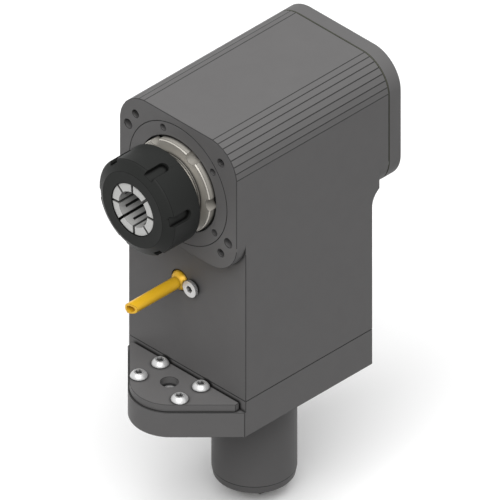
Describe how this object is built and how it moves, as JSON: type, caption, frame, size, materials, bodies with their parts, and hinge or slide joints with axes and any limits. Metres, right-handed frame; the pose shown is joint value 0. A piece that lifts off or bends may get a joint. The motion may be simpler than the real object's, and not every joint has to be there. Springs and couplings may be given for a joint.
{
  "type": "driven tool holder",
  "caption": "Driven tool holder with a round shank, tall steel body, bevel gear drive, horizontal spindle with collet and clamping nut, and a swivelling coolant nozzle.",
  "frame": {"origin": "on the shank axis, in the plane of the mounting face", "axes": "+Z along the shank axis away from the turret, spindle nose towards -Y"},
  "size_m": [0.096, 0.1726, 0.291],
  "materials": {
    "black_oxide_steel": "blackened steel, dark grey, satin",
    "black_nut_steel": "hardened steel, black oxide, fine turned",
    "ground_steel": "hardened steel, ground",
    "collet_steel": "spring steel, ground",
    "gear_steel": "case hardened steel, ground teeth",
    "bearing_steel": "bearing steel, polished",
    "cage_brass": "machined brass",
    "zinc_screws": "steel, bright zinc",
    "nozzle_brass": "turned brass",
    "seal_rubber": "nitrile rubber",
    "seat_plastic": "white acetal",
    "gasket_paper": "fibre gasket sheet"
  },
  "bodies": {
    "holder": {"housing": "black_oxide_steel", "mounting_flange": "black_oxide_steel", "flange_screws": "zinc_screws", "flange_dowels": "ground_steel", "shank_face_seal_ring": "seal_rubber", "coolant_seal_rings": "seal_rubber", "coolant_cover_plate": "black_oxide_steel", "cover_plate_screws": "zinc_screws", "coolant_port_plug": "zinc_screws", "rear_gasket": "gasket_paper", "rear_cover": "black_oxide_steel", "rear_cover_screws": "zinc_screws", "front_cover_ring": "black_oxide_steel", "front_cover_seal_ring": "seal_rubber", "spindle_seal": "seal_rubber", "nose_bearing_outer_rings": "bearing_steel", "rear_bearing_outer_ring": "bearing_steel", "upper_bearing_outer_rings": "bearing_steel", "foot_bearing_outer_ring": "bearing_steel", "upper_bearing_circlips": "ground_steel", "foot_bearing_circlip": "ground_steel", "drive_shaft_seal": "seal_rubber", "nozzle_clamp_screw": "zinc_screws"},
    "spindle_set": {"spindle": "ground_steel", "slotted_ring": "ground_steel", "spindle_bevel_gear": "gear_steel", "spindle_gear_key": "ground_steel", "spindle_sleeve": "ground_steel", "spindle_lock_nut": "ground_steel", "nose_bearing_inner_rings": "bearing_steel", "rear_bearing_inner_ring": "bearing_steel"},
    "drive_set": {"drive_shaft": "ground_steel", "drive_bevel_gear": "gear_steel", "drive_gear_key": "ground_steel", "drive_gear_washer": "ground_steel", "drive_gear_screw": "ground_steel", "upper_bearing_inner_rings": "bearing_steel", "foot_bearing_inner_ring": "bearing_steel"},
    "nose_cage_set": {"nose_bearing_balls": "bearing_steel", "nose_bearing_cages": "cage_brass"},
    "rear_cage_set": {"rear_bearing_balls": "bearing_steel", "rear_bearing_cage": "cage_brass"},
    "upper_cage_set": {"upper_bearing_balls": "bearing_steel", "upper_bearing_cages": "cage_brass"},
    "foot_cage_set": {"foot_bearing_balls": "bearing_steel", "foot_bearing_cage": "cage_brass"},
    "collet_set": {"collet": "collet_steel", "nut_draw_ring": "ground_steel"},
    "nut": {"clamping_nut": "black_nut_steel"},
    "nozzle_seat": {"nozzle_seat_ring": "seat_plastic"},
    "nozzle": {"nozzle_ball": "nozzle_brass", "nozzle_tube": "nozzle_brass"}
  },
  "joints": [
    {"name": "spindle_spin", "type": "hinge", "parent": "holder", "child": "spindle_set", "pos_m": [0, 0, 0.16], "axis": [0, -1, 0], "continuous": true},
    {"name": "drive_spin", "type": "hinge", "parent": "holder", "child": "drive_set", "pos_m": [0, 0, 0], "axis": [0, 0, 1], "continuous": true},
    {"name": "nose_cage_spin", "type": "hinge", "parent": "holder", "child": "nose_cage_set", "pos_m": [0, 0, 0.16], "axis": [0, -1, 0], "continuous": true},
    {"name": "rear_cage_spin", "type": "hinge", "parent": "holder", "child": "rear_cage_set", "pos_m": [0, 0, 0.16], "axis": [0, -1, 0], "continuous": true},
    {"name": "upper_cage_spin", "type": "hinge", "parent": "holder", "child": "upper_cage_set", "pos_m": [0, 0, 0.1], "axis": [0, 0, 1], "continuous": true},
    {"name": "foot_cage_spin", "type": "hinge", "parent": "holder", "child": "foot_cage_set", "pos_m": [0, 0, -0.06], "axis": [0, 0, 1], "continuous": true},
    {"name": "collet_travel", "type": "slide", "parent": "spindle_set", "child": "collet_set", "axis": [0, -1, 0], "range_m": [0, 0.00301]},
    {"name": "nut_turn", "type": "hinge", "parent": "collet_set", "child": "nut", "pos_m": [0, 0, 0.16], "axis": [0, -1, 0], "range_deg": [0, 720]},
    {"name": "nozzle_turn", "type": "hinge", "parent": "holder", "child": "nozzle_seat", "pos_m": [-0.00575, -0.0528, 0.0847], "axis": [0, -1, 0], "range_deg": [-180, 180]},
    {"name": "nozzle_tilt", "type": "hinge", "parent": "nozzle_seat", "child": "nozzle", "pos_m": [-0.00575, -0.0528, 0.0847], "axis": [-1, 0, 0], "range_deg": [0, 12]}
  ],
  "couplings": [
    {"joint": "drive_spin", "follows": "spindle_spin", "ratio": 1},
    {"joint": "nose_cage_spin", "follows": "spindle_spin", "ratio": 0.43982},
    {"joint": "rear_cage_spin", "follows": "spindle_spin", "ratio": 0.3974},
    {"joint": "upper_cage_spin", "follows": "spindle_spin", "ratio": 0.3974},
    {"joint": "foot_cage_spin", "follows": "spindle_spin", "ratio": 0.39677},
    {"joint": "collet_travel", "follows": "nut_turn", "m_per_rad": 0.00023873}
  ]
}
